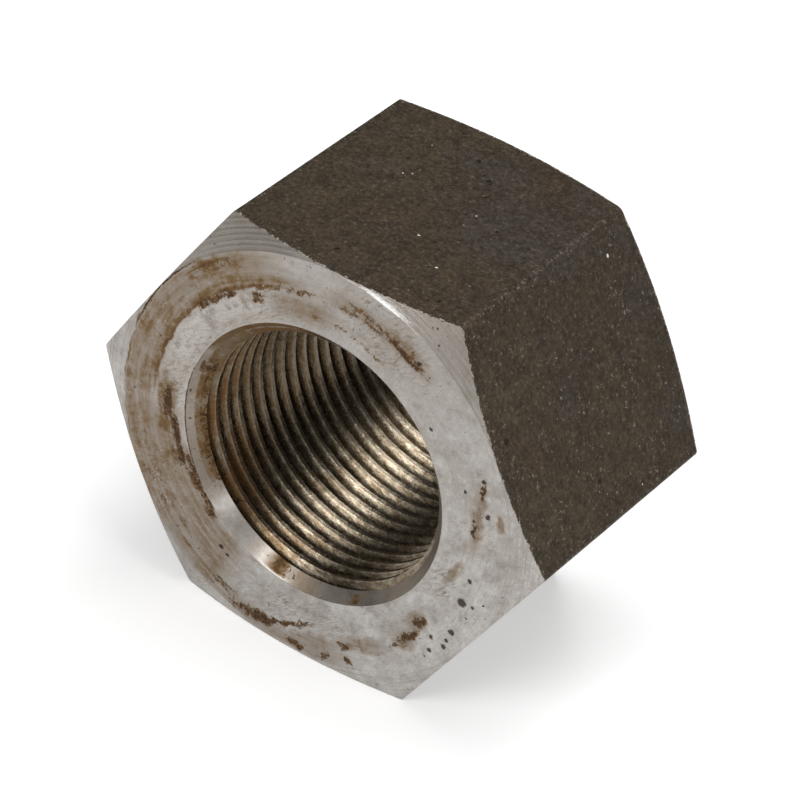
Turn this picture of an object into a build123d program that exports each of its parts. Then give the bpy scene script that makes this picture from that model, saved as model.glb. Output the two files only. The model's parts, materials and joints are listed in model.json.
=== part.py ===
"""A thick hexagonal nut for a large stud bolt, lying on one of its six flats.

The origin is the middle of the nut, on the axis of the threaded bore. The bore runs along Y, the
machined bearing face looks towards -Y, and the nut lies on the flat that looks towards -Z.
Lengths are in millimetres and angles in degrees.
"""

import os
from math import radians, sqrt, tan

from build123d import *

# The forged hexagonal blank: its six long edges are left slightly round
across_flats = 75.0
nut_height = 49.0
long_edge_radius = 0.8

# The turned ends: each flat end face is a circle that stops this far inside the six flats, and a
# shallow cone runs on from there and takes the corners off
chamfer_inset = 0.2
chamfer_angle = 20.0

# The thread that the stud screws into, and the countersink at each end that leads it in
thread_diameter = 48.0
thread_pitch = 3.0
countersink_margin = 1.0
countersink_angle = 90.0

# A metric internal thread is 5/8 of its sharp triangle deep, and the bore is cut to its crests
sharp_thread_height = thread_pitch * sqrt(3) / 2
thread_depth = 5 / 8 * sharp_thread_height
bore_radius = thread_diameter / 2 - thread_depth
countersink_radius = thread_diameter / 2 + countersink_margin

# The lathe tool sweeps from the end face's circle out past the hexagon's corners
corner_radius = across_flats / sqrt(3)
end_face_radius = across_flats / 2 - chamfer_inset
chamfer_drop = (corner_radius - end_face_radius) * tan(radians(chamfer_angle))
half_height = nut_height / 2

with BuildPart() as hex_nut:
    with BuildSketch(Plane.XZ):
        RegularPolygon(radius=across_flats / 2, side_count=6, major_radius=False)
    extrude(amount=half_height, both=True)
    fillet(hex_nut.edges().filter_by(Axis.Y), radius=long_edge_radius)

    # Half of the turned outline, spun about the bore's axis: it faces both ends and chamfers them
    with BuildSketch(Plane.XY):
        with BuildLine():
            Polyline(
                (0, -half_height),
                (end_face_radius, -half_height),
                (corner_radius, chamfer_drop - half_height),
                (corner_radius, half_height - chamfer_drop),
                (end_face_radius, half_height),
                (0, half_height),
                close=True,
            )
        make_face()
    revolve(axis=Axis.Y, mode=Mode.INTERSECT)

    # The bore goes right through, and each end face gets its own countersink
    with Locations(*hex_nut.faces().filter_by(Axis.Y)):
        CounterSinkHole(
            radius=bore_radius,
            counter_sink_radius=countersink_radius,
            counter_sink_angle=countersink_angle,
        )

hex_nut.part.label = "hex_nut"

os.makedirs("parts", exist_ok=True)
export_step(hex_nut.part, "parts/hex_nut.step")
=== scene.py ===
"""A thick hexagonal nut for a large stud bolt, lying on one of its flats.

The flats keep the dark mill scale of the forged bar, the end faces, chamfers and countersinks
are turned bright, and the bore has a cut thread. Brown rust has crept over the bright steel.
The origin is the middle of the nut, on the bore's axis, with the bearing face towards -Y.
"""

import json
from math import cos, pi, radians, sin, sqrt, tan

import bpy
from mathutils import Matrix, Vector


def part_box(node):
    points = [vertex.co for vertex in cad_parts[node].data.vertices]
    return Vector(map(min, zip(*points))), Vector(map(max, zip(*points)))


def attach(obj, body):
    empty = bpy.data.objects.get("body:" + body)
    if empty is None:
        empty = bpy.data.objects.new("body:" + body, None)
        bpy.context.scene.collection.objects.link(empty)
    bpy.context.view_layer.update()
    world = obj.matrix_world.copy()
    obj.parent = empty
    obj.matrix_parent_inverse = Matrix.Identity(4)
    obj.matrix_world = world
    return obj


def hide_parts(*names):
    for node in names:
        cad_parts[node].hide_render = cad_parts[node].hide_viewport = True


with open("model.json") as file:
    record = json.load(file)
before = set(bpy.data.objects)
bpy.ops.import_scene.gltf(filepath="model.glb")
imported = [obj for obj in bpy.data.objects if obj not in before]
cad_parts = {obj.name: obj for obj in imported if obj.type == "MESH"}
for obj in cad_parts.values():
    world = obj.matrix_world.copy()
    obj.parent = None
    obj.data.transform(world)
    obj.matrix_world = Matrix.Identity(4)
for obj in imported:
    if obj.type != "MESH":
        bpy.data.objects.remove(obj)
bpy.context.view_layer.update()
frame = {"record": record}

MM = 0.001


class Value:
    """A number that changes over a surface: a sum written with it adds its Math nodes."""

    def __init__(self, socket):
        self.socket = socket

    def __add__(self, other):
        return maths("ADD", self, other)

    def __radd__(self, other):
        return maths("ADD", other, self)

    def __sub__(self, other):
        return maths("SUBTRACT", self, other)

    def __rsub__(self, other):
        return maths("SUBTRACT", other, self)

    def __mul__(self, other):
        return maths("MULTIPLY", self, other)

    def __rmul__(self, other):
        return maths("MULTIPLY", other, self)

    def __truediv__(self, other):
        return maths("DIVIDE", self, other)

    def __rtruediv__(self, other):
        return maths("DIVIDE", other, self)

    def __gt__(self, other):
        return maths("GREATER_THAN", self, other)

    def __lt__(self, other):
        return maths("LESS_THAN", self, other)

    def __abs__(self):
        return maths("ABSOLUTE", self)


def connect(tree, socket, value):
    """Gives a socket its value, or links it to where the value comes from."""
    if isinstance(value, list):
        for each in value:
            connect(tree, socket, each)
    elif isinstance(value, Value):
        tree.links.new(value.socket, socket)
    elif isinstance(value, bpy.types.NodeSocket):
        tree.links.new(value, socket)
    else:
        socket.default_value = value


def add_node(tree, kind, settings=None, sockets=None):
    """Adds one node: its settings come first, then the values or links of its sockets."""
    node = tree.nodes.new(kind)
    for name, setting in (settings or {}).items():
        setattr(node, name, setting)
    for key, value in (sockets or {}).items():
        if isinstance(key, int):
            socket = node.inputs[key]
        else:
            socket = next(s for s in node.inputs if key in (s.identifier, s.name))
        connect(tree, socket, value)
    return node


def maths(operation, *values):
    tree = next(value.socket.id_data for value in values if isinstance(value, Value))
    node = add_node(tree, "ShaderNodeMath", {"operation": operation}, dict(enumerate(values)))
    return Value(node.outputs[0])


def lesser(a, b):
    return maths("MINIMUM", a, b)


def greater(a, b):
    return maths("MAXIMUM", a, b)


def clamped(value):
    """A value kept between 0 and 1.

    The Clamp node stands by itself because the renderer puts off a Math node's own clamp, and
    so many put-off values at once would overrun the stack of the steel's shader.
    """
    limits = {"Value": value, "Min": 0.0, "Max": 1.0}
    return Value(add_node(value.socket.id_data, "ShaderNodeClamp", {}, limits).outputs[0])


def scaled_sum(value, factor, rest):
    """value * factor + rest, in one node."""
    return maths("MULTIPLY_ADD", value, factor, rest)


def ramp(value, low, high):
    """0 where a value is low, 1 where it is high, and even in between."""
    slope = 1 / (high - low)
    return clamped(scaled_sum(value, slope, -low * slope))


def fraction(value):
    return maths("FRACT", value)


def mix_colours(tree, factor, first, second):
    """The first colour where the factor is 0, and the second where it is 1."""
    node = add_node(
        tree,
        "ShaderNodeMix",
        {"data_type": "RGBA", "blend_type": "MIX"},
        {"Factor_Float": factor, "A_Color": first, "B_Color": second},
    )
    return next(output for output in node.outputs if output.identifier == "Result_Color")


def noise(tree, place, size, detail=2.0, roughness=0.5):
    """Cloudy noise between 0 and 1, whose blotches are about as wide as size."""
    node = add_node(
        tree,
        "ShaderNodeTexNoise",
        {"noise_dimensions": "3D", "normalize": True},
        {
            "Vector": place,
            "Scale": 1.0 / size,
            "Detail": detail,
            "Roughness": roughness,
        },
    )
    return Value(node.outputs[0])


# The nut's shape, in millimetres

lowest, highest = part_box("hex_nut")
record_mounts = {mount["name"]: mount for mount in frame["record"]["mounts"]}
bore = record_mounts["threaded_bore"]["dims"]

across_flats = (highest.z - lowest.z) / MM
nut_height = (highest.y - lowest.y) / MM

nut_sizes = {
    "Across flats": across_flats,
    "Nut height": nut_height,
    "Long edge radius": 0.8,
    "Forging relief": 0.06,
    "End face radius": across_flats / 2 - 0.2,
    "Chamfer slope": tan(radians(20)),
    "Tool groove pitch": 0.8,
    "Tool groove depth": 0.022,
    "Thread pitch": 3.0,
    "Thread crest radius": bore["r_mm"],
    "Thread start": 0.5,
    "Crest wear": 0.08,
    "Countersink depth": (nut_height - bore["length_mm"]) / 2,
}


def grid_rows(tree, columns, rows):
    """A sheet of columns by rows, with how far each point is around it and which row it is in."""
    sheet = add_node(
        tree,
        "GeometryNodeMeshGrid",
        {},
        {"Size X": 1.0, "Size Y": 1.0, "Vertices X": columns + 1, "Vertices Y": rows + 1},
    )
    place = add_node(tree, "GeometryNodeInputPosition")
    parts = add_node(tree, "ShaderNodeSeparateXYZ", {}, {"Vector": place.outputs[0]})
    around = Value(parts.outputs["X"]) + 0.5
    row = (Value(parts.outputs["Y"]) + 0.5) * rows
    return sheet.outputs["Mesh"], around, row


def wrap_round(tree, sheet, angle, radius, along):
    """Bends a sheet into a closed body round the bore's axis and welds its seam and poles."""
    weld_distance = 0.002
    place = point_round(tree, angle, radius, along)
    moved = add_node(
        tree, "GeometryNodeSetPosition", {}, {"Geometry": sheet, "Position": place}
    )
    welded = add_node(
        tree,
        "GeometryNodeMergeByDistance",
        {},
        {"Geometry": moved.outputs[0], "Distance": weld_distance},
    )
    outwards = add_node(tree, "GeometryNodeFlipFaces", {}, {"Mesh": welded.outputs[0]})
    return outwards.outputs[0]


def point_round(tree, angle, radius, along):
    """The place at an angle and a radius round the bore's axis, and so far along it."""
    place = add_node(
        tree,
        "ShaderNodeCombineXYZ",
        {},
        {
            "X": radius * maths("COSINE", angle),
            "Y": along,
            "Z": radius * maths("SINE", angle),
        },
    )
    return place.outputs[0]


def forged_hexagon(tree, size):
    """The forged bar: six flats with slightly uneven scale, and softly rounded long edges."""
    flat_columns = 66
    corner_columns = 6
    columns = 6 * (flat_columns + corner_columns)
    rows = 60
    spare_length = 1.0
    sheet, around, row = grid_rows(tree, columns, rows)

    sector = maths("FLOOR", around * 6)
    sideways = fraction(around * 6) * 2 - 1
    flat_share = flat_columns / (flat_columns + corner_columns)
    straight = lesser(abs(sideways) / flat_share, 1.0)
    turn = greater((abs(sideways) - flat_share) / (1 - flat_share), 0.0) * radians(30)
    edge_radius = size["Long edge radius"]
    reach = size["Across flats"] / 2 - edge_radius
    side = reach * tan(radians(30)) * straight + edge_radius * maths("SINE", turn)
    side = side * maths("SIGN", sideways)
    out = reach + edge_radius * maths("COSINE", turn)
    angle = (sector + 0.5) * radians(60) + maths("ARCTAN2", side, out)
    outline = maths("SQRT", side * side + out * out)

    half_length = size["Nut height"] / 2 + spare_length
    along = (clamped((row - 1) / (rows - 2)) * 2 - 1) * half_length
    lid = clamped(row) * clamped(rows - row)
    smooth_place = point_round(tree, angle, outline, along)
    lump_share = 0.8
    grit_share = 0.7
    lumps = noise(tree, smooth_place, 9.0, detail=1.0)
    grit = noise(tree, smooth_place, 1.6, detail=2.0, roughness=0.6)
    relief = size["Forging relief"] * (lumps * lump_share + grit * grit_share)
    return wrap_round(tree, sheet, angle, (outline - relief) * lid, along)


def turned_ends(tree, size):
    """What the lathe leaves: two flat end faces and two shallow cones with the tool's grooves."""
    columns = 432
    face_rows = 6
    rows_in_groove = 6
    grooves = 9
    chamfer_rows = rows_in_groove * grooves
    half_rows = 1 + face_rows + chamfer_rows + 1
    radius_inside_bore = 18.0
    chatter_spread = 20.0
    shallowest_groove = 0.5
    sheet, around, row = grid_rows(tree, columns, 2 * half_rows)

    end = maths("SIGN", row - half_rows)
    step = half_rows - abs(row - half_rows)
    angle = around * (2 * pi)
    face_radius = size["End face radius"]
    pitch = size["Tool groove pitch"]
    cone_step = lesser(greater(step - 1 - face_rows, 0.0), chamfer_rows)
    radius = (
        radius_inside_bore * clamped(step)
        + (face_radius - radius_inside_bore) * clamped((step - 1) / face_rows)
        + pitch * cone_step / rows_in_groove
    )
    drop = pitch * cone_step / rows_in_groove * size["Chamfer slope"]
    in_groove = fraction(cone_step / rows_in_groove)
    even_place = point_round(tree, angle, radius, end * chatter_spread)
    chatter = noise(tree, even_place, 5.0, detail=2.0)
    scoop = 4 * in_groove * (1 - in_groove)
    groove = size["Tool groove depth"] * scoop * (shallowest_groove + chatter)
    along = end * (size["Nut height"] / 2 - drop - groove) * clamped(half_rows - step)
    return wrap_round(tree, sheet, angle, radius, along)


def thread_cutter(tree, size):
    """The rod of metal that the tap takes out: a right-hand helical ridge, closed at both ends."""
    columns = 288
    # In parts of the pitch: the crest ends, the flank falls to the root, and rises to a new crest
    crest_end = 1 / 8
    root_start = 7 / 16
    row_phases = (0.28, root_start, 9 / 16, 0.66, 0.76, 7 / 8, 1 + crest_end)
    rows_in_turn = len(row_phases)
    spare_length = 4.0
    turns = 22
    turns_below_end = 2
    rows = turns * rows_in_turn + 2
    sheet, around, row = grid_rows(tree, columns, rows)

    pitch = size["Thread pitch"]
    angle = around * (2 * pi)
    whole_turns = maths("FLOOR", (row - 1) / rows_in_turn)
    step = row - 1 - whole_turns * rows_in_turn
    turn = whole_turns + crest_end
    for number, (before, after) in enumerate(zip((crest_end, *row_phases), row_phases)):
        turn = turn + clamped(step - number) * (after - before)
    end = size["Nut height"] / 2 + spare_length
    free = pitch * (turn - around) + size["Thread start"]
    free = free - pitch * turns_below_end - end + spare_length
    along = greater(lesser(free, end), -1 * end)
    past_lid = abs(free - along)
    inside = 1 - clamped(past_lid * 1000)

    from_crest = abs(fraction(turn + 0.5) - 0.5)
    thread_depth = pitch * (5 / 8 * sqrt(3) / 2)
    flank = ramp(from_crest, crest_end, root_start)
    lid = clamped(row) * clamped(rows - row)
    wear_radius = 23.0
    even_place = point_round(tree, angle, wear_radius, along)
    torn = noise(tree, even_place, 1.2, detail=3.0, roughness=0.6)
    wear = size["Crest wear"] * clamped((torn - 0.45) * 4) * (1 - flank)
    radius = size["Thread crest radius"] + (thread_depth * flank + wear) * inside
    return wrap_round(tree, sheet, angle, radius * lid, along)


def countersink_cutter(tree, size, end):
    """A cone that opens the bore out to its countersink at one end, -1 for the front."""
    columns = 216
    spare = 1.5
    depth = size["Countersink depth"]
    crest = size["Thread crest radius"]
    cone = add_node(
        tree,
        "GeometryNodeMeshCone",
        {"fill_type": "NGON"},
        {
            "Vertices": columns,
            "Side Segments": 1,
            "Radius Top": crest - spare,
            "Radius Bottom": crest + depth + spare,
            "Depth": depth + 2 * spare,
        },
    )
    base = add_node(
        tree,
        "ShaderNodeCombineXYZ",
        {},
        {"X": 0.0, "Y": end * (size["Nut height"] / 2 + spare), "Z": 0.0},
    )
    turned = add_node(
        tree,
        "GeometryNodeTransform",
        {},
        {
            "Geometry": cone.outputs["Mesh"],
            "Translation": base.outputs[0],
            "Rotation": (radians(90 * end), 0.0, 0.0),
        },
    )
    return turned.outputs[0]


def carve(tree, operation, body, tools):
    """Takes the tools out of a body by DIFFERENCE, or keeps what they share by INTERSECT."""
    if operation == "DIFFERENCE":
        sockets = {"Mesh 1": body, "Mesh 2": tools}
    else:
        sockets = {"Mesh 2": [body, *tools]}
    node = add_node(
        tree,
        "GeometryNodeMeshBoolean",
        {"operation": operation, "solver": "MANIFOLD"},
        sockets,
    )
    return node.outputs["Mesh"]


def threaded_nut_tree(mill_scale, turned_steel, cut_thread):
    """The whole nut: forged, turned at both ends, tapped and countersunk, with its finishes."""
    tree = bpy.data.node_groups.new("threaded_nut", "GeometryNodeTree")
    tree.interface.new_socket("Nut", in_out="OUTPUT", socket_type="NodeSocketGeometry")
    for name in nut_sizes:
        tree.interface.new_socket(name, in_out="INPUT", socket_type="NodeSocketFloat")
    inputs = add_node(tree, "NodeGroupInput")
    size = {name: Value(inputs.outputs[name]) for name in nut_sizes}

    turned = carve(tree, "INTERSECT", forged_hexagon(tree, size), [turned_ends(tree, size)])
    tools = [
        thread_cutter(tree, size),
        countersink_cutter(tree, size, -1),
        countersink_cutter(tree, size, 1),
    ]
    bored = carve(tree, "DIFFERENCE", turned, tools)

    place = add_node(tree, "GeometryNodeInputPosition")
    parts = add_node(tree, "ShaderNodeSeparateXYZ", {}, {"Vector": place.outputs[0]})
    x, y, z = (Value(parts.outputs[name]) for name in "XYZ")
    normal = add_node(tree, "GeometryNodeInputNormal")
    facing = add_node(tree, "ShaderNodeSeparateXYZ", {}, {"Vector": normal.outputs[0]})
    facing_end = abs(Value(facing.outputs["Y"]))
    from_axis = maths("SQRT", x * x + z * z)
    mouth = size["Thread crest radius"] + size["Countersink depth"]
    from_end = size["Nut height"] / 2 - abs(y)
    off_cone = abs(from_axis - mouth + from_end)
    in_bore = from_axis < mouth + 0.02
    threaded = in_bore * (off_cone > 0.03)
    turned_tilt = 0.4

    edge_angle = add_node(tree, "GeometryNodeInputMeshEdgeAngle")
    crease_angle = radians(18) + radians(7) * in_bore
    crease = Value(edge_angle.outputs["Unsigned Angle"]) > crease_angle
    smooth = add_node(
        tree,
        "GeometryNodeSetShadeSmooth",
        {"domain": "FACE"},
        {"Geometry": bored, "Shade Smooth": True},
    )
    creased = add_node(
        tree,
        "GeometryNodeSetShadeSmooth",
        {"domain": "EDGE"},
        {"Geometry": smooth.outputs[0], "Selection": crease, "Shade Smooth": False},
    )
    real = add_node(
        tree, "GeometryNodeRealizeInstances", {}, {"Geometry": creased.outputs[0]}
    )
    coated = real.outputs[0]
    finishes = [
        (mill_scale, True),
        (turned_steel, facing_end > turned_tilt),
        (cut_thread, threaded),
    ]
    for material, where in finishes:
        coat = add_node(
            tree,
            "GeometryNodeSetMaterial",
            {},
            {"Geometry": coated, "Selection": where, "Material": material},
        )
        coated = coat.outputs[0]
    in_metres = add_node(
        tree, "GeometryNodeTransform", {}, {"Geometry": coated, "Scale": (MM, MM, MM)}
    )
    outputs = add_node(tree, "NodeGroupOutput")
    connect(tree, outputs.inputs[0], in_metres.outputs[0])
    return tree


def make_nut(tree):
    """Runs the tree once and keeps what it makes as a plain mesh."""
    maker = bpy.data.objects.new("nut_maker", bpy.data.meshes.new("nut_maker"))
    bpy.context.collection.objects.link(maker)
    modifier = maker.modifiers.new("threaded_nut", "NODES")
    modifier.node_group = tree
    for item in tree.interface.items_tree:
        if item.in_out == "INPUT":
            modifier[item.identifier] = nut_sizes[item.name]
    finished = maker.evaluated_get(bpy.context.evaluated_depsgraph_get())
    mesh = bpy.data.meshes.new_from_object(finished)
    bpy.data.objects.remove(maker)
    mesh.name = "nut"
    nut = bpy.data.objects.new("nut", mesh)
    bpy.context.collection.objects.link(nut)
    return nut


# Finishes, with every place and size on the nut in millimetres


def new_material(name):
    material = bpy.data.materials.new(name)
    material.use_nodes = True
    tree = material.node_tree
    surface = tree.nodes["Principled BSDF"]
    return material, tree, surface


class Spot:
    """Where a point of the surface is, and the noise there.

    It holds the point's place, its x, y and z, how far it is from the bore's axis and at how many
    degrees round it, counted from +X towards +Z.
    """

    def __init__(self, tree):
        coordinates = add_node(tree, "ShaderNodeTexCoord")
        scaled = add_node(
            tree,
            "ShaderNodeVectorMath",
            {"operation": "SCALE"},
            {"Vector": coordinates.outputs["Object"], "Scale": 1 / MM},
        )
        self.tree = tree
        self.place = scaled.outputs["Vector"]
        parts = add_node(tree, "ShaderNodeSeparateXYZ", {}, {"Vector": self.place})
        self.x, self.y, self.z = (Value(parts.outputs[name]) for name in "XYZ")
        self.from_axis, self.degrees = self.round_axis(self.place)

    def round_axis(self, place):
        """How far a place is from the bore's axis, and at how many degrees round it."""
        parts = add_node(self.tree, "ShaderNodeSeparateXYZ", {}, {"Vector": place})
        x, z = Value(parts.outputs["X"]), Value(parts.outputs["Z"])
        degrees = fraction(maths("ARCTAN2", z, x) / (2 * pi) + 1) * 360
        return maths("SQRT", x * x + z * z), degrees

    def cloud(self, size, **settings):
        return noise(self.tree, self.place, size, **settings)

    def turning_marks(self, stretch, width, **settings):
        """Noise drawn out into rings round the bore, as a lathe tool leaves them."""
        even_radius = 30 * width / stretch
        marks = add_node(
            self.tree,
            "ShaderNodeCombineXYZ",
            {},
            {
                "X": self.x / self.from_axis * even_radius,
                "Y": self.y,
                "Z": self.z / self.from_axis * even_radius,
            },
        )
        along_radius = add_node(
            self.tree,
            "ShaderNodeCombineXYZ",
            {},
            {"X": 0.0, "Y": self.from_axis, "Z": 0.0},
        )
        place = add_node(
            self.tree,
            "ShaderNodeVectorMath",
            {"operation": "ADD"},
            {0: marks.outputs[0], 1: along_radius.outputs[0]},
        )
        return noise(self.tree, place.outputs[0], width, **settings)

    def scratches(self, turned, length, width, **settings):
        """Noise drawn out along straight lines across the end faces."""
        framed = add_node(
            self.tree,
            "ShaderNodeMapping",
            {"vector_type": "TEXTURE"},
            {
                "Vector": self.place,
                "Rotation": (0.0, radians(-turned), 0.0),
                "Scale": (length, width, width),
            },
        )
        return noise(self.tree, framed.outputs["Vector"], 1.0, **settings)

    def ragged(self, size, reach):
        """The same place pushed about by noise, so that what is drawn there gets torn edges."""
        push = add_node(
            self.tree,
            "ShaderNodeTexNoise",
            {},
            {"Vector": self.place, "Scale": 1 / size, "Detail": 4.0, "Roughness": 0.6},
        )
        pushed = add_node(
            self.tree,
            "ShaderNodeVectorMath",
            {"operation": "MULTIPLY_ADD"},
            {
                0: push.outputs["Color"],
                1: (reach, reach, reach),
                2: self.place,
            },
        )
        centred = add_node(
            self.tree,
            "ShaderNodeVectorMath",
            {"operation": "SUBTRACT"},
            {0: pushed.outputs[0], 1: (reach / 2, reach / 2, reach / 2)},
        )
        return centred.outputs[0]

    def seen_on_face(self, place):
        """A place's x and z, and the square of how many stain depths it is off the front face."""
        stain_depth = 3.0
        parts = add_node(self.tree, "ShaderNodeSeparateXYZ", {}, {"Vector": place})
        x, y, z = (Value(parts.outputs[name]) for name in "XYZ")
        off_face = (y + nut_height / 2) / stain_depth
        return x, z, off_face * off_face

    def patch(self, place, centre, size):
        """A soft patch round a place in all three directions."""
        away = add_node(
            self.tree,
            "ShaderNodeVectorMath",
            {"operation": "DISTANCE"},
            {0: place, 1: centre},
        )
        return ramp(Value(away.outputs["Value"]), size * 0.6, size * 0.3)

    def pit(self, place, centre, size):
        """A small round hole at a place in all three directions."""
        away = add_node(
            self.tree,
            "ShaderNodeVectorMath",
            {"operation": "DISTANCE"},
            {0: place, 1: centre},
        )
        return ramp(Value(away.outputs["Value"]), size * 0.5, size * 0.3)


def blot(seen_on_face, centre, length, width, turned=0.0):
    """A patch on the front face: 1 in its middle and 0 past its length and width."""
    x, z, off_face = seen_on_face
    middle_x, middle_z = centre
    lean_x, lean_z = cos(radians(turned)), sin(radians(turned))
    along_x, along_z = lean_x / (length / 2), lean_z / (length / 2)
    over_x, over_z = -lean_z / (width / 2), lean_x / (width / 2)
    along = scaled_sum(z, along_z, -middle_x * along_x - middle_z * along_z)
    along = scaled_sum(x, along_x, along)
    over = scaled_sum(z, over_z, -middle_x * over_x - middle_z * over_z)
    over = scaled_sum(x, over_x, over)
    away = maths("SQRT", scaled_sum(along, along, scaled_sum(over, over, off_face)))
    return ramp(away, 1.0, 0.4)


def arc(round_axis, radii, start, finish, fade):
    """Part of a ring round the bore: it rises, stays full and fades over four radii."""
    from_axis, degrees = round_axis
    rise, full, still_full, gone = radii
    across = ramp(from_axis, rise, full) * ramp(from_axis, gone, still_full)
    ends = ramp(degrees, start, start + fade) * ramp(degrees, finish, finish - fade)
    return across * ends


def sink_stain(spot, depth, start, finish, top, bottom, strength):
    """A stain in the countersink, between two angles and two depths."""
    end_fade = 7
    edge_fade = 0.2
    ends = ramp(spot.degrees, start, start + end_fade)
    ends = ends * ramp(spot.degrees, finish, finish - end_fade)
    across = ramp(depth, top - edge_fade, top + edge_fade)
    across = across * ramp(depth, bottom + edge_fade, bottom - edge_fade)
    return ends * across * strength


def mix_masks(share, first, second):
    """The first mask where the share is 0, and the second where it is 1."""
    return first + share * (second - first)


def most(values):
    """The greatest of several masks at each point."""
    values = iter(values)
    top = next(values)
    for value in values:
        top = greater(top, value)
    return top


def colour(red, green, blue):
    return (red, green, blue, 1.0)


def bump(tree, height, depth, normal=None):
    """Relief from a height of 0 to 1 that stands depth millimetres deep."""
    sockets = {"Strength": 1.0, "Distance": depth * MM, "Height": height}
    if normal is not None:
        sockets["Normal"] = normal
    return add_node(tree, "ShaderNodeBump", {}, sockets).outputs["Normal"]


def mill_scale_finish():
    """The forged flats: nearly black oxide, matt and gritty, with rubbed specks and small pits."""
    material, tree, surface = new_material("mill_scale")
    spot = Spot(tree)
    patches = spot.cloud(14.0, detail=3.0)
    mottle = spot.cloud(2.4, detail=6.0, roughness=0.7)
    grit = spot.cloud(0.5, detail=3.0, roughness=0.75)
    flakes = spot.cloud(0.8, detail=3.0, roughness=0.6)
    top = across_flats / 2
    smoother_top = 1 - 0.72 * ramp(spot.z, top - 1.1, top - 0.3)
    way_round_one_flat = 45
    from_long_edge = abs(fraction(spot.degrees / 60 + 0.5) - 0.5) * way_round_one_flat

    # Bright specks, thicker in some fields, along the long edges and towards the front
    near_long_edge = ramp(from_long_edge, 2.2, 0.2)
    near_front = ramp(spot.y + nut_height / 2, 8.0, 1.0)
    fields = ramp(spot.cloud(4.0, detail=3.0, roughness=0.6), 0.42, 0.6) * smoother_top
    fields = greater(fields, near_long_edge * 0.7)
    fields = greater(fields, near_front * 0.6)
    flat_specks = ramp(flakes + (grit - 0.5) * 0.5, 0.65, 0.73) * fields * 0.8
    fine_specks = ramp(spot.cloud(0.35, detail=1.0), 0.7, 0.76) * fields
    lone_specks = ramp(spot.cloud(0.55, detail=0.0), 0.85, 0.89)
    specks = most([flat_specks, fine_specks, lone_specks])

    # The scale itself: large tints, then mottle, then grit
    place = spot.ragged(0.8, 0.7)
    tints = spot.ragged(9.0, 16.0)
    olive = most(spot.patch(tints, centre, size) for centre, size in olive_patches)
    cool = most(spot.patch(tints, centre, size) for centre, size in cool_patches)
    tint = mix_colours(tree, greater(olive, ramp(patches, 0.45, 0.65)), SCALE_BROWN, SCALE_OLIVE)
    tint = mix_colours(tree, greater(cool, ramp(patches, 0.42, 0.3)) * 0.7, tint, SCALE_GREY)
    shaded = mix_colours(tree, ramp(mottle, 0.36, 0.58), SCALE_DARK, tint)
    shaded = mix_colours(tree, ramp(spot.cloud(18.0), 0.56, 0.42) * 0.3, shaded, SCALE_DARK)
    gritty = mix_colours(tree, ramp(flakes, 0.52, 0.68) * 0.4, shaded, SCALE_LIGHT)
    gritty = mix_colours(tree, ramp(flakes, 0.45, 0.3) * 0.7, gritty, SCALE_BLACK)
    gritty = mix_colours(tree, ramp(grit, 0.53, 0.7) * 0.4, gritty, SCALE_LIGHT)
    gritty = mix_colours(tree, ramp(grit, 0.46, 0.32) * 0.6, gritty, SCALE_BLACK)

    # Where handling has rubbed or chipped it, and its pits
    past_end_face = spot.from_axis - nut_sizes["End face radius"]
    from_end_edge = nut_height / 2 - abs(spot.y) - past_end_face * nut_sizes["Chamfer slope"]
    nicks = ramp(spot.cloud(0.9, detail=3.0, roughness=0.75), 0.48, 0.54)
    end_edge = ramp(from_end_edge + (flakes - 0.5) * 1.2, 0.3, 0.15) * nicks
    long_edge = ramp(from_long_edge + (flakes - 0.5) * 2.4, 0.3, 0.1) * ramp(grit, 0.48, 0.56)
    long_edge = long_edge * ramp(mottle, 0.46, 0.56) * 0.4
    rubbed = most([end_edge, long_edge, specks])
    chips = most(spot.pit(place, centre, size) for centre, size in flat_chips)
    chips = greater(chips, end_edge * ramp(grit, 0.5, 0.58) * 0.6)
    pits = most(spot.pit(place, centre, size) for centre, size in flat_pits)
    stray_pits = ramp(spot.cloud(0.7, detail=1.0), 0.25, 0.19) * ramp(patches, 0.44, 0.56)
    pits = greater(pits, stray_pits)
    worn = mix_colours(tree, rubbed * 0.85, gritty, SCALE_RUBBED)
    worn = mix_colours(tree, chips, worn, SCALE_CHIPPED)
    coated = mix_colours(tree, pits * 0.9, worn, SCALE_BLACK)
    connect(tree, surface.inputs["Base Color"], coated)
    connect(tree, surface.inputs["Roughness"], 0.78 - 0.2 * mottle - 0.2 * rubbed)
    connect(tree, surface.inputs["Metallic"], clamped(0.1 + 0.7 * rubbed))
    connect(tree, surface.inputs["Specular IOR Level"], 0.22)
    coarse = bump(tree, mottle - pits * 1.5, 0.26)
    connect(tree, surface.inputs["Normal"], bump(tree, grit, 0.13, coarse))
    return material


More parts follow.
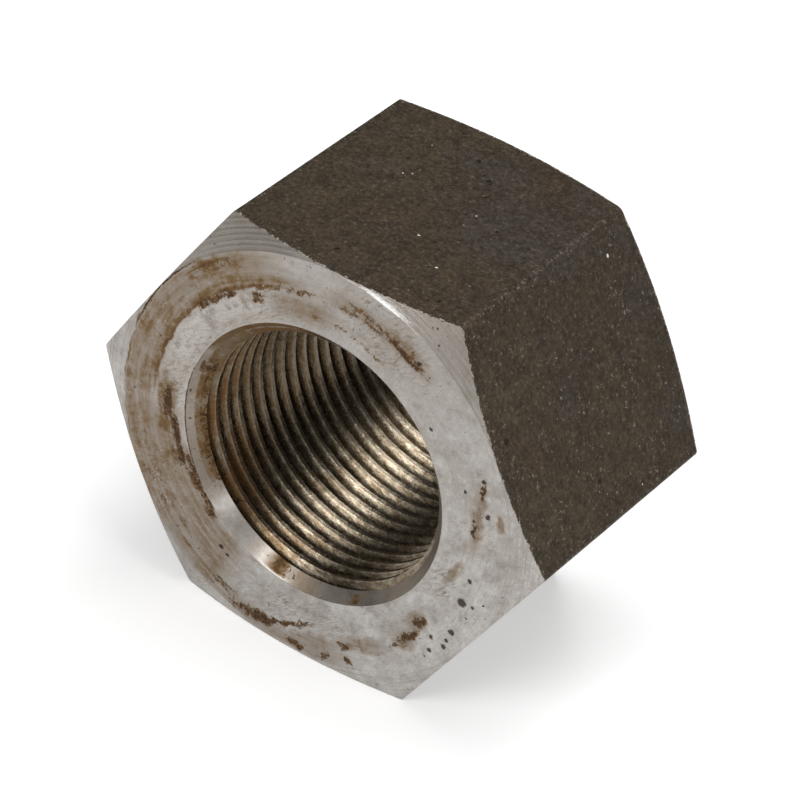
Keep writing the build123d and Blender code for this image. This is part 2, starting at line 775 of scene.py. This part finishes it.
def turned_steel_finish():
    """The lathe's bright surfaces, with brown rust that has dried on them in rings and scabs."""
    material, tree, surface = new_material("turned_steel")
    spot = Spot(tree)
    clouds = spot.cloud(9.0, detail=4.0, roughness=0.6)
    mottle = spot.cloud(2.6, detail=6.0, roughness=0.72)
    crumbs = spot.cloud(1.1, detail=4.0, roughness=0.7)
    fine = spot.cloud(0.5, detail=3.0, roughness=0.7)
    rings = spot.turning_marks(14.0, 0.35, detail=2.0)
    streaks = spot.turning_marks(9.0, 1.1, detail=5.0, roughness=0.65)
    lines = spot.scratches(72, 3.0, 0.14, detail=2.0)
    cross_lines = spot.scratches(20, 4.0, 0.1, detail=1.0)
    scrapes = spot.scratches(38, 1.6, 0.4, detail=4.0, roughness=0.7)
    front = spot.y < 0
    mouth_radius = nut_sizes["Thread crest radius"] + nut_sizes["Countersink depth"]
    sunk = ramp(spot.from_axis, mouth_radius + 0.02, mouth_radius - 0.02)
    seen = spot.seen_on_face(spot.ragged(2.0, 3.4))
    close_place = spot.ragged(0.9, 0.9)
    close_seen = spot.seen_on_face(close_place)
    torn_rings = spot.round_axis(spot.ragged(3.0, 2.2))
    close_rings = spot.round_axis(spot.ragged(1.5, 0.45))

    # Bare metal with the tool's rings, handling scratches and worn-in dirt, painted shade that
    # darkens it towards the top, and a painted highlight by the top of the rim
    bare = mix_colours(tree, ramp(clouds, 0.36, 0.64), STEEL_DULL, STEEL_BRIGHT)
    bare = mix_colours(tree, ramp(mottle, 0.52, 0.62) * 0.5, bare, STEEL_PALE)
    bare = mix_colours(tree, ramp(mottle, 0.47, 0.34) * 0.7, bare, STEEL_SHADE)
    on_chamfer = spot.from_axis > nut_sizes["End face radius"] + 0.1
    bare = mix_colours(tree, ramp(rings, 0.48, 0.66) * (0.2 + 0.3 * on_chamfer), bare, STEEL_SHADE)
    bare = mix_colours(tree, ramp(lines, 0.54, 0.7) * 0.5, bare, STEEL_SHADE)
    bare = mix_colours(tree, ramp(cross_lines, 0.6, 0.72) * 0.45, bare, STEEL_PALE)
    bare = mix_colours(tree, ramp(fine, 0.42, 0.28) * 0.6, bare, STEEL_SHADE)
    # Painted shade: the face, and more so the chamfers, grow darker towards the top
    top_shade = ramp(spot.z + (clouds - 0.5) * 30, -6, 36) * (0.42 + 0.36 * on_chamfer)
    bare = mix_colours(tree, clamped(top_shade) * (1 - sunk), bare, STEEL_TOP_SHADE)
    dirt = most(blot(seen, *each) for each in dirty_blots)
    dirt = greater(dirt, most(arc(torn_rings, *where) for where in dirty_arcs)) * front
    dirt = dirt * ramp(scrapes * 1.4 + fine * 0.6 + mottle, 1.48, 1.72)
    bare = mix_colours(tree, dirt * 0.8, bare, STEEL_DIRTY)
    wiped = most(arc(torn_rings, *where) for where in wiped_arcs) * front
    bare = mix_colours(tree, wiped * ramp(mottle, 0.42, 0.5) * 0.5, bare, STEEL_PALE)
    # Painted highlight: a pale streak on the face near the top of its rim
    painted_highlight = most(blot(close_seen, *each) for each in painted_highlight_blots) * front
    bare = mix_colours(tree, painted_highlight * 0.65, bare, STEEL_PAINTED_HIGHLIGHT)

    # A thin brown film in rings and blots, and in the countersink
    sink_depth = mouth_radius - spot.from_axis
    film = most(arc(torn_rings, *where) * strength for strength, *where in film_arcs)
    film = greater(film, most(blot(seen, *each) * 0.7 for each in tan_blots))
    film = film * (0.3 + ramp(streaks, 0.36, 0.62) * 0.6 + ramp(mottle, 0.4, 0.58) * 0.6)
    sink_film = most(sink_stain(spot, sink_depth, *each) for each in sink_stains)
    film = mix_masks(sunk, film, sink_film * (0.7 + ramp(mottle, 0.38, 0.62) * 0.5))

    # Scabs of rust: where the score is higher, film turns to rust and rust to a dark crust
    flaking = mottle + crumbs * 1.5 + fine * 1.5 + streaks - 2.5
    scabs = most(arc(torn_rings, *where) * strength for strength, *where in rust_arcs)
    scabs = greater(scabs, most(blot(seen, *each) for each in rust_blots))
    scabs = greater(scabs, most(arc(close_rings, *where) for where in edge_lines) * 1.2)
    sink_scabs = most(sink_stain(spot, sink_depth, *each) for each in sink_scab_places)
    scabs = mix_masks(sunk, scabs, sink_scabs)
    score = (scabs * 0.8 + flaking) * front
    near_scabs = ramp(scabs, 0.05, 0.3)
    rust = ramp(score, 0.6, 0.72) * near_scabs
    halo = ramp(score, 0.3, 0.66) * near_scabs
    film = greater(film, halo * 0.8) * front
    pale = ramp(fine, 0.56, 0.6) * ramp(score, 0.2, 0.4) * ramp(scabs, 0.5, 0.9) * (1 - rust)
    pits = most(spot.pit(close_place, (x, -nut_height / 2, z), size) for x, z, size in face_pits)
    scattered = ramp(spot.cloud(0.7, detail=1.0), 0.7, 0.76) * ramp(clouds + film * 0.25, 0.5, 0.62)
    pits = greater(pits, scattered * 0.8)

    film = film * (1 - pale)
    crust_colour = mix_colours(tree, ramp(crumbs, 0.44, 0.58), RUST_BROWN, RUST_ORANGE)
    flecks = ramp(crumbs, 0.58, 0.66) * ramp(film, 0.3, 0.5) * 0.35
    film = film * (1 - flecks)
    caked = ramp(film, 1.0, 1.5)
    stained = mix_colours(tree, clamped(film), bare, RUST_FILM)
    stained = mix_colours(tree, caked * 0.8, stained, RUST_BROWN)
    stained = mix_colours(tree, pale * 0.6, stained, STEEL_PALE)
    stained = mix_colours(tree, rust * 0.9, stained, crust_colour)
    dark_crust = ramp(score, 0.78, 0.88) * near_scabs
    stained = mix_colours(tree, dark_crust * 0.85, stained, RUST_DARK)
    stained = mix_colours(tree, pits * 0.9, stained, RUST_DARK)
    connect(tree, surface.inputs["Base Color"], stained)
    connect(tree, surface.inputs["Specular IOR Level"], 0.15)
    dull = clamped(film * 0.4 + caked * 0.6 + rust + pits)
    connect(tree, surface.inputs["Metallic"], 1 - 0.85 * dull)
    shine = 0.3 + 0.12 * clouds - 0.02 * sunk
    connect(tree, surface.inputs["Roughness"], clamped(shine + 0.35 * dull))
    unevenness = mottle + fine * 0.4 - ramp(lines, 0.54, 0.7) * 0.3
    relief = bump(tree, rings * 0.35 + unevenness * (1 - 0.85 * sunk), 0.03)
    crust = bump(tree, rust * (0.5 + fine) - pits * 2 + pale * 0.6, 0.12, relief)
    connect(tree, surface.inputs["Normal"], crust)
    return material


def cut_thread_finish():
    """The thread: bright on its lower side, and darker and brown round the rest, partly painted
    shade and partly old oily film and rust.
    """
    material, tree, surface = new_material("cut_thread")
    spot = Spot(tree)
    crest = nut_sizes["Thread crest radius"]
    root = crest + 1.62
    left_side = 200
    mottle = spot.cloud(1.0, detail=5.0, roughness=0.75)
    torn = spot.turning_marks(2.0, 0.22, detail=4.0, roughness=0.65)
    patches = spot.cloud(6.0, detail=4.0)
    inwards = spot.y + nut_height / 2

    # Rust from the mouth and old oily patches; the left side and the floor of the bore are darker,
    # partly painted shade and partly oily film, and the left side more so further in
    mouth_rust = ramp(inwards, 17, 5) * clamped(1.4 - abs(spot.degrees - left_side) / 50)
    # Partly painted shade: the left side and the floor are darkened, leaving the lower side bright
    shaded_oily_side = ramp(spot.degrees, 120, 150) * ramp(spot.degrees, 240, 214)
    shaded_oily_floor = ramp(spot.degrees, 266, 280) * ramp(spot.degrees, 322, 300)
    oil_and_shade = ramp(patches + mouth_rust * 0.3, 0.5, 0.72) * 0.7
    oil_and_shade = greater(oil_and_shade, shaded_oily_side * (0.55 + 0.25 * ramp(inwards, 3, 16)))
    oil_and_shade = greater(oil_and_shade, shaded_oily_floor * 0.4)
    bare = mix_colours(tree, ramp(torn, 0.36, 0.64), THREAD_STEEL, THREAD_BRIGHT)
    oiled_and_shaded = mix_colours(tree, clamped(oil_and_shade * (0.6 + 0.7 * mottle)), bare, THREAD_BROWN)
    rust = mouth_rust * ramp(mottle * 0.5 + patches * 0.5, 0.42, 0.52) * 0.9
    rusty = mix_colours(tree, rust, oiled_and_shaded, RUST_THREAD)
    rubbing = 0.14 + 0.3 * ramp(torn, 0.5, 0.6) * (1 - shaded_oily_side)
    rubbed = ramp(spot.from_axis, crest + 0.3, crest + 0.1) * rubbing
    rusty = mix_colours(tree, rubbed, rusty, THREAD_RUBBED)
    # Painted shade at the bottom of the thread's roots, and grime in random streaks over the thread
    root_shade_and_grime = ramp(spot.from_axis, root - 0.12, root) * 0.5
    root_shade_and_grime = root_shade_and_grime + ramp(mottle * 0.4 + torn * 0.6, 0.55, 0.7) * 0.8
    grimed_and_shaded = mix_colours(tree, clamped(root_shade_and_grime) * 0.85, rusty, THREAD_GRIME_AND_SHADE)
    connect(tree, surface.inputs["Base Color"], grimed_and_shaded)
    connect(tree, surface.inputs["Specular IOR Level"], 0.15)
    connect(tree, surface.inputs["Metallic"], 1 - 0.5 * clamped(greater(root_shade_and_grime, rust)))
    connect(tree, surface.inputs["Roughness"], clamped(0.2 + 0.14 * mottle + 0.25 * root_shade_and_grime))
    connect(tree, surface.inputs["Normal"], bump(tree, mottle * 0.6 + torn, 0.05))
    return material


# Colours, as linear red, green and blue
SCALE_BROWN = colour(0.060, 0.040, 0.022)
SCALE_OLIVE = colour(0.067, 0.050, 0.027)
SCALE_GREY = colour(0.057, 0.046, 0.041)
SCALE_DARK = colour(0.034, 0.024, 0.014)
SCALE_BLACK = colour(0.010, 0.007, 0.005)
SCALE_LIGHT = colour(0.130, 0.105, 0.076)
SCALE_RUBBED = colour(0.42, 0.375, 0.320)
SCALE_CHIPPED = colour(0.80, 0.770, 0.720)
STEEL_BRIGHT = colour(0.43, 0.410, 0.388)
STEEL_DULL = colour(0.34, 0.316, 0.290)
STEEL_PALE = colour(0.55, 0.535, 0.515)
STEEL_SHADE = colour(0.22, 0.197, 0.172)
STEEL_DIRTY = colour(0.170, 0.138, 0.102)
# The colour of the painted highlight on the face's rim
STEEL_PAINTED_HIGHLIGHT = colour(0.72, 0.715, 0.70)
# The colour of the painted shade towards the top of the face and chamfers
STEEL_TOP_SHADE = colour(0.200, 0.176, 0.150)
RUST_FILM = colour(0.155, 0.096, 0.042)
RUST_ORANGE = colour(0.210, 0.112, 0.040)
RUST_BROWN = colour(0.112, 0.053, 0.020)
RUST_DARK = colour(0.030, 0.016, 0.009)
THREAD_STEEL = colour(0.132, 0.092, 0.053)
THREAD_BRIGHT = colour(0.345, 0.305, 0.235)
THREAD_RUBBED = colour(0.42, 0.370, 0.290)
THREAD_BROWN = colour(0.060, 0.034, 0.012)
# The colour of the grime, and of the painted shade at the thread's roots
THREAD_GRIME_AND_SHADE = colour(0.018, 0.010, 0.004)
RUST_THREAD = colour(0.150, 0.074, 0.024)

# Rust that has dried in rings on the bearing face: how strong it is, the four radii over which
# it rises and fades, its start and finish in degrees, and how many degrees its ends fade over
film_arcs = [
    (0.72, (30.6, 32.4, 36.6, 37.8), 104, 216, 16),
    (0.62, (24.8, 26.5, 37.0, 38.6), 182, 250, 8),
    (0.14, (24.6, 26.5, 30.0, 31.5), 108, 186, 10),
    (0.95, (30.7, 31.5, 31.9, 34.4), 96, 190, 14),
    (1.45, (30.7, 31.1, 31.3, 32.6), 100, 186, 14),
    (1.15, (34.2, 35.2, 36.6, 37.4), 116, 150, 12),
    (0.80, (36.7, 37.2, 37.4, 37.6), 136, 240, 14),
    (0.42, (33.0, 35.0, 37.0, 38.0), 226, 272, 10),
    (0.62, (30.8, 32.2, 33.4, 35.2), 52, 96, 10),
    (0.60, (26.0, 27.4, 29.0, 31.0), 84, 118, 10),
    (0.44, (33.4, 35.4, 36.6, 37.4), 232, 292, 12),
    (1.00, (26.4, 28.0, 30.0, 31.6), 172, 212, 8),
    (0.90, (25.0, 25.6, 27.0, 28.4), 196, 236, 8),
]
rust_arcs = [
    (0.74, (30.8, 31.8, 33.2, 34.8), 52, 92, 8),
    (1.05, (31.4, 32.0, 32.6, 33.4), 56, 74, 4),
    (0.80, (30.2, 31.0, 31.4, 33.0), 92, 124, 8),
    (0.55, (30.6, 31.2, 31.4, 32.4), 120, 186, 10),
    (0.60, (34.4, 35.4, 36.2, 37.2), 116, 146, 8),
    (1.00, (28.0, 28.8, 29.6, 31.0), 114, 123, 3),
    (1.10, (29.6, 30.4, 31.0, 31.8), 124, 146, 4),
    (1.20, (27.4, 28.2, 29.0, 30.4), 176, 194, 4),
    (1.15, (25.6, 26.8, 27.6, 29.4), 186, 212, 5),
    (1.10, (24.6, 25.6, 26.2, 27.8), 200, 234, 5),
    (0.52, (33.4, 34.6, 36.0, 37.4), 238, 270, 6),
    (0.45, (31.6, 33.4, 35.4, 37.2), 190, 242, 8),
    (0.45, (26.6, 27.6, 28.6, 30.4), 60, 96, 10),
]

# Thin lines of rust along the rims of the face and of the countersink, and worn, dirty metal
edge_lines = [
    ((37.0, 37.2, 37.35, 37.5), 130, 172, 12),
    ((24.75, 24.95, 25.1, 25.35), 160, 222, 8),
]
dirty_arcs = [
    ((24.8, 26.0, 29.6, 31.0), 94, 192, 12),
]
wiped_arcs = [
    ((25.6, 27.4, 29.6, 30.8), 112, 174, 12),
]

# Film and rust in the countersink: start and finish in degrees, top and bottom, strength
sink_stains = [
    (90, 136, -1, 4, 1.55),
    (126, 156, -1, 4, 1.05),
    (150, 226, -1, 4, 0.55),
    (140, 222, 0.9, 4, 1.0),
    (228, 246, -1, 4, 0.2),
    (242, 254, -1, 4, 0.5),
    (250, 276, 0.2, 4, 0.55),
    (252, 268, 0.2, 4, 1.3),
    (262, 284, -1, 4, 0.7),
    (266, 318, -1, 4, 0.38),
    (306, 372, -1, 4, 0.55),
    (-15, 30, -1, 4, 0.45),
    (290, 304, 0.1, 1.5, 1.0),
]
sink_scab_places = [
    (112, 142, -0.5, 1.8, 0.6),
    (156, 171, 0.4, 2.6, 1.1),
    (160, 226, 1.5, 2.8, 0.85),
    (250, 274, 0.3, 2.8, 0.56),
    (290, 304, 0.1, 1.4, 1.0),
]

# Stains on the bearing face, and one painted highlight: the middle in x and z, length, width and
# turn in degrees
tan_blots = [
    ((-4, 28), 12, 4.5, 8),
    ((31, 7), 18, 3, 90),
    ((35, 8), 2, 4, 0),
    ((23, -18.5), 6, 4, 40),
    ((21.5, -23.5), 6, 5, 50),
    ((28, -6), 2.5, 8, -30),
    ((4, -34), 14, 4, 20),
    ((14, -29), 12, 4, 25),
]
rust_blots = [
    ((-7, -34.6), 14, 3.6, 0),
    ((-0.5, -32.9), 17, 1.8, 27),
    ((10.6, -31.2), 5, 2.0, 25),
    ((20.2, -25.4), 4, 1.6, 60),
    ((22, -22.2), 8, 3.4, 50),
    ((23.5, -18.5), 5, 2.4, 40),
    ((1.5, -36), 6, 2.4, -20),
    ((7.5, -35), 4, 2.6, 55),
    ((12, -33.4), 4, 1.6, -30),
    ((12, -21.3), 3, 1.6, 20),
    ((31, 12), 5, 1.3, 85),
    ((30.6, 4), 5, 1.2, 95),
]
dirty_blots = [
    ((1, -29.5), 30, 9, 8),
    ((10, 28.5), 28, 7, -20),
    ((-31, -14), 14, 22, 20),
    ((27, -9), 8, 10, 0),
    ((10, 33.5), 24, 7, -18),
    ((-20.5, -34.5), 12, 9, 0),
]
# A painted highlight: a pale streak on the face near the top of its rim, where a reflection would
# lie
painted_highlight_blots = [
    ((9, 36.4), 12, 1.2, -13),
]

# Rust pits in the bearing face: x, z and size
face_pits = [
    (31.0, 14.0, 1.0),
    (28.0, 10.5, 0.7),
    (32.7, 8.0, 1.1),
    (30.5, 6.0, 0.6),
    (30.4, 3.8, 0.6),
    (20.3, 18.5, 0.7),
    (16.5, 29.0, 1.0),
    (31.4, -5.5, 0.9),
    (37.6, -5.3, 0.7),
    (30.7, -10.3, 1.9),
    (32.7, -10.2, 0.8),
    (34.5, -8.7, 0.5),
    (29.7, -17.0, 1.3),
    (28.7, -20.5, 1.2),
    (26.2, -20.0, 1.0),
    (26.3, -22.7, 1.0),
    (29.0, -19.0, 0.8),
    (-15.0, -25.0, 1.0),
    (-13.6, -26.0, 0.6),
]


def on_top(x, y):
    return (x, y, across_flats / 2)


def on_right(along, y):
    """A place on the flat to the right of the top one, measured down its slope."""
    out = across_flats / 2
    lean = radians(30)
    return (out * cos(lean) + along * sin(lean), y, out * sin(lean) - along * cos(lean))


# Pits and bright chips on the flats, each with its size
flat_pits = [
    (on_top(-2.1, 16.7), 0.9),
    (on_top(2.2, 13.1), 0.8),
    (on_top(2.9, 12.6), 0.5),
    (on_top(4.5, 9.1), 0.5),
    (on_top(-10.7, 9.1), 0.6),
    (on_top(11.2, 2.5), 0.6),
    (on_top(-4.2, -19.2), 0.7),
    (on_top(15.2, -19.2), 0.8),
    (on_right(-1.7, -20.8), 1.3),
    (on_right(14.1, -2.8), 0.9),
]
flat_chips = [
    (on_top(6.4, 3.8), 0.4),
    (on_top(2.9, -7.1), 0.45),
    (on_top(9.8, -12.2), 0.6),
    (on_top(-10.1, 15.1), 0.35),
    (on_top(-8.9, 5.2), 0.4),
    (on_top(-7.6, 6.1), 0.3),
    (on_right(-16.4, 15.6), 0.75),
    (on_right(19.5, 7.0), 0.4),
]

# Larger patches of another tint on the flats
olive_patches = [
    (on_top(-9.0, 10.0), 22.0),
    (on_right(-8.0, -12.0), 18.0),
]
cool_patches = [
    (on_top(14.0, 4.0), 26.0),
    (on_top(2.0, 17.0), 14.0),
]

nut = make_nut(
    threaded_nut_tree(mill_scale_finish(), turned_steel_finish(), cut_thread_finish())
)
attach(nut, "root")
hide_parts("hex_nut")


# Floor, background and light

ground = lowest.z
floor_reach = 3.0
floor_grey = colour(0.8, 0.8, 0.8)
floor_glow = colour(0.42, 0.42, 0.42)
world_light = 0.05

# Each lamp: its name, its place, its width and height in millimetres, and its power in watts
softboxes = [
    ("front_softbox", (-165, -745, 455), 300, 640, 4.5),
    ("strip_softbox", (-250, -850, 14), 70, 48, 0.09),
    ("camera_softbox", (540, -630, 400), 240, 300, 1.0),
    ("top_softbox", (100, 250, 1000), 900, 900, 6.2),
    ("back_softbox", (-50, 700, 740), 350, 350, 1.6),
    ("side_softbox", (900, -100, 380), 700, 700, 2.7),
]


def shows_plain_background(tree):
    """1 for rays from the camera, a reflection or a clear material, and 0 for light."""
    path = add_node(tree, "ShaderNodeLightPath")
    camera = Value(path.outputs["Is Camera Ray"])
    glossy = Value(path.outputs["Is Glossy Ray"])
    clear = Value(path.outputs["Is Transmission Ray"])
    return clamped(camera + glossy + clear)


def make_floor():
    """A pale floor that reads as white to the camera and in reflections, and keeps its shadow."""
    mesh = bpy.data.meshes.new("floor")
    corners = [(-1, -1), (1, -1), (1, 1), (-1, 1)]
    points = [(x * floor_reach, y * floor_reach, ground) for x, y in corners]
    mesh.from_pydata(points, [], [(0, 1, 2, 3)])
    floor = bpy.data.objects.new("floor", mesh)
    bpy.context.collection.objects.link(floor)
    material, tree, surface = new_material("pale_floor")
    surface.inputs["Base Color"].default_value = floor_grey
    surface.inputs["Roughness"].default_value = 0.9
    surface.inputs["Emission Strength"].default_value = 1.0
    glow = mix_colours(tree, shows_plain_background(tree), colour(0, 0, 0), floor_glow)
    connect(tree, surface.inputs["Emission Color"], glow)
    mesh.materials.append(material)


def light_world(strength):
    world = bpy.data.worlds.new("studio")
    bpy.context.scene.world = world
    world.use_nodes = True
    background = world.node_tree.nodes["Background"]
    background.inputs["Color"].default_value = (1, 1, 1, 1)
    background.inputs["Strength"].default_value = strength


def add_softbox(name, place, width, height, power):
    """A square lamp that faces the nut. Its place is in millimetres."""
    lamp = bpy.data.lights.new(name, "AREA")
    lamp.shape = "RECTANGLE"
    lamp.size = width * MM
    lamp.size_y = height * MM
    lamp.energy = power
    softbox = bpy.data.objects.new(name, lamp)
    softbox.location = Vector(place) * MM
    softbox.rotation_euler = (-softbox.location).to_track_quat("-Z", "Y").to_euler()
    bpy.context.collection.objects.link(softbox)


make_floor()
light_world(world_light)
for softbox in softboxes:
    add_softbox(*softbox)


# Camera

viewing_distance = 702.38
viewing_elevation = 36.79
viewing_azimuth = 30.11
camera_roll = 8.69
sensor_width = 36.0
focal_length = 195.4
aim_point = Vector((0.0, -0.18, -0.2)) * MM

sight = Vector(
    (
        sin(radians(viewing_azimuth)) * cos(radians(viewing_elevation)),
        -cos(radians(viewing_azimuth)) * cos(radians(viewing_elevation)),
        sin(radians(viewing_elevation)),
    )
)
lens = bpy.data.cameras.new("camera")
lens.sensor_width = sensor_width
lens.lens = focal_length
lens.clip_start = 0.01
camera = bpy.data.objects.new("camera", lens)
upright = (-sight).to_track_quat("-Z", "Y").to_matrix().to_4x4()
roll = Matrix.Rotation(radians(camera_roll), 4, "Z")
stand = Matrix.Translation(aim_point + sight * viewing_distance * MM)
camera.matrix_world = stand @ upright @ roll
bpy.context.collection.objects.link(camera)
bpy.context.scene.camera = camera
bpy.context.scene.view_settings.view_transform = "Standard"
